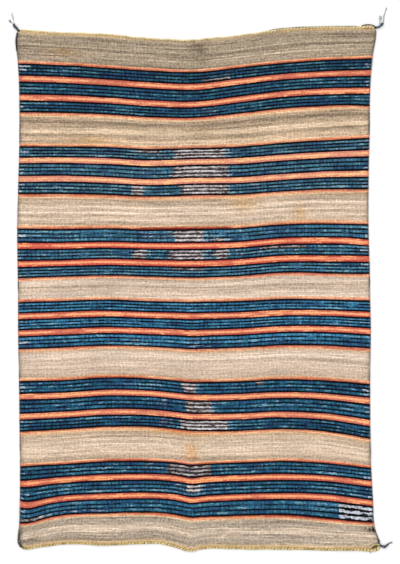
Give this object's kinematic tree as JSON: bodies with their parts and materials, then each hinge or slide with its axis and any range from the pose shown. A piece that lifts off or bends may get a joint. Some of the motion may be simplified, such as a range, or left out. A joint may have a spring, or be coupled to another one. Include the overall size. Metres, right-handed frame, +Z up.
{
  "type": "striped wool wearing blanket",
  "caption": "Tapestry-woven wool wearing blanket with bands of blue and orange stripes on beige, corded edges and knotted corner tassels, lying flat.",
  "frame": {"origin": "middle of the whole outline, tassels included, on the surface that the blanket lies on", "axes": "+X across the blanket along its weft, +Y along its warp towards the end that is the upper one in the picture, +Z up out of its face"},
  "size_m": [1.2766, 1.8142, 0.0096],
  "materials": {
    "web_wool": "hand-spun wool tapestry weave, beige with blue, black and orange stripes",
    "end_cord_wool": "plied wool, yellow with olive",
    "side_cord_wool": "plied wool, dark slate",
    "tassel_wool": "plied wool, slate blue",
    "corner_knot_wool": "plied wool, olive grey"
  },
  "bodies": {
    "root": {"web": "web_wool", "end_cord_top": "end_cord_wool", "end_cord_bottom": "end_cord_wool", "side_cord_left": "side_cord_wool", "side_cord_right": "side_cord_wool", "tassel_top_left": "tassel_wool", "tassel_top_right": "tassel_wool", "tassel_bottom_right": "tassel_wool", "corner_knot_bottom_left": "corner_knot_wool"}
  },
  "joints": []
}
